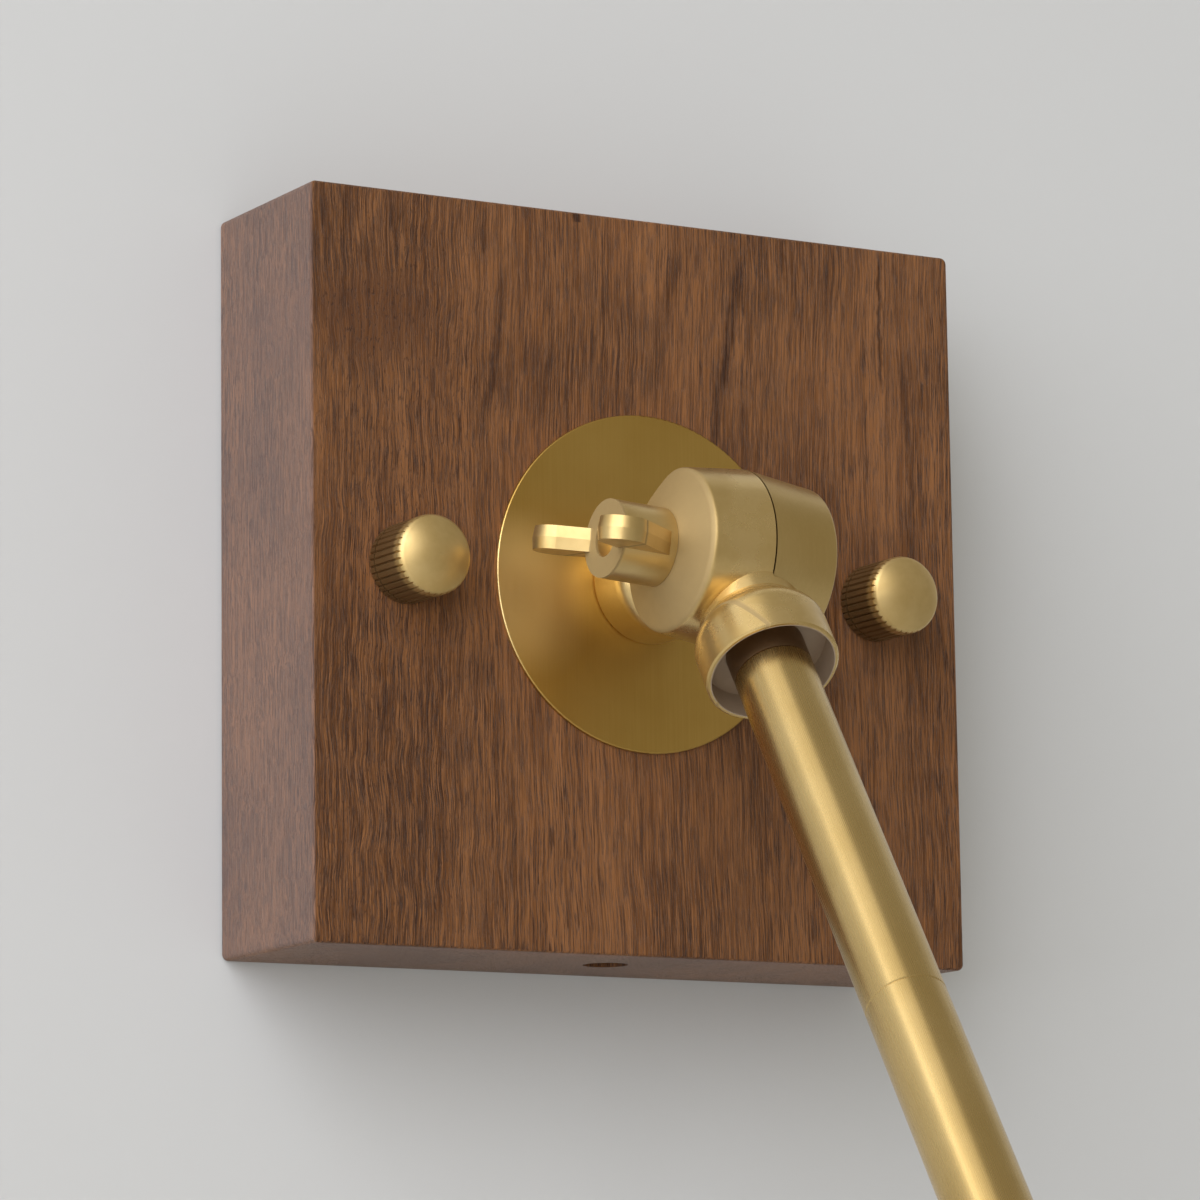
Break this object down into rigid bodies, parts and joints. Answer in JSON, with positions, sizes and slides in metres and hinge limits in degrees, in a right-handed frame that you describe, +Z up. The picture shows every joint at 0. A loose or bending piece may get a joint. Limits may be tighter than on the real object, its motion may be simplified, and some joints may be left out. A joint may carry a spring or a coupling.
{
  "type": "articulating wall lamp",
  "caption": "Square wooden wall block with a brass swivel knuckle, a tilting tubular arm and a tilting cone shade clamped by wing screws.",
  "frame": {"origin": "centre of the mounting block's back face, on the wall, midway between the two wall fixing holes", "axes": "+Y into the wall, -Y out of it towards the room, +Z up, +X to the right of someone facing the wall"},
  "size_m": [0.1434, 0.2589, 0.4047],
  "materials": {
    "walnut": "oiled",
    "satin_brass": "satin",
    "aged_bronze": "unlacquered",
    "zinc_steel": "zinc plated",
    "white_nylon": "matt",
    "contact_brass": "bright",
    "brown_insulation": "matt",
    "blue_insulation": "matt",
    "fibre": "matt",
    "black_phenolic": "moulded",
    "nickel_cap": "bright",
    "bulb_glass": "clear",
    "filament": "coated"
  },
  "bodies": {
    "wall_unit": {"mounting_block": "walnut", "wall_bracket": "zinc_steel", "mounting_studs": "zinc_steel", "earth_screw": "zinc_steel", "rosette": "satin_brass", "threaded_nipple": "zinc_steel", "nipple_washer": "zinc_steel", "nipple_nut": "zinc_steel", "rosette_nut": "zinc_steel", "terminal_block": "white_nylon", "terminal_inserts": "contact_brass", "base_wire_live": "brown_insulation", "base_wire_neutral": "blue_insulation"},
    "left_nut": {"thumb_nut_left": "satin_brass"},
    "right_nut": {"thumb_nut_right": "satin_brass"},
    "swivel": {"base_knuckle": "satin_brass", "base_friction_washer": "fibre"},
    "base_screw": {"base_wing_screw": "satin_brass"},
    "arm": {"arm_knuckle": "satin_brass", "arm_ferrules": "aged_bronze", "arm_nipples": "zinc_steel", "arm_tube_short": "satin_brass", "arm_tube_long": "satin_brass", "tube_coupler": "zinc_steel", "arm_wire_live": "brown_insulation", "arm_wire_neutral": "blue_insulation", "arm_end_knuckle": "satin_brass", "head_friction_washer": "fibre"},
    "head_screw": {"head_wing_screw": "satin_brass"},
    "head": {"head_knuckle": "satin_brass", "head_spacer": "satin_brass", "head_nipple": "zinc_steel", "head_wire_live": "brown_insulation", "head_wire_neutral": "blue_insulation", "socket_cup": "satin_brass", "holder_nut": "zinc_steel", "lampholder_body": "black_phenolic", "lampholder_shell": "contact_brass", "centre_contact": "contact_brass", "shade": "satin_brass", "shade_ring": "black_phenolic"},
    "bulb": {"bulb_cap": "nickel_cap", "bulb_glass": "bulb_glass", "bulb_filaments": "filament"}
  },
  "joints": [
    {"name": "base_swivel", "type": "hinge", "parent": "wall_unit", "child": "swivel", "pos_m": [0, -0.0524, 0], "axis": [0, 1, 0], "range_deg": [-94.3, 85.7]},
    {"name": "arm_tilt", "type": "hinge", "parent": "swivel", "child": "arm", "pos_m": [0, -0.0524, 0], "axis": [-0.9972, 0, 0.075], "range_deg": [-20, 126]},
    {"name": "head_tilt", "type": "hinge", "parent": "arm", "child": "head", "pos_m": [-0.01441, -0.19617, -0.19163], "axis": [0.9972, 0, -0.075], "range_deg": [-146, 73]},
    {"name": "base_screw_turn", "type": "hinge", "parent": "swivel", "child": "base_screw", "pos_m": [0, -0.0524, 0], "axis": [-0.9972, 0, 0.075], "continuous": true},
    {"name": "head_screw_turn", "type": "hinge", "parent": "arm", "child": "head_screw", "pos_m": [-0.01441, -0.19617, -0.19163], "axis": [-0.9972, 0, 0.075], "continuous": true},
    {"name": "left_nut_turn", "type": "hinge", "parent": "wall_unit", "child": "left_nut", "pos_m": [-0.04, -0.033, 0], "axis": [0, -1, 0], "continuous": true},
    {"name": "right_nut_turn", "type": "hinge", "parent": "wall_unit", "child": "right_nut", "pos_m": [0.04, -0.033, 0], "axis": [0, -1, 0], "continuous": true},
    {"name": "bulb_turn", "type": "hinge", "parent": "head", "child": "bulb", "pos_m": [-0.02003, -0.19617, -0.26642], "axis": [-0.075, 0, -0.9972], "continuous": true}
  ]
}
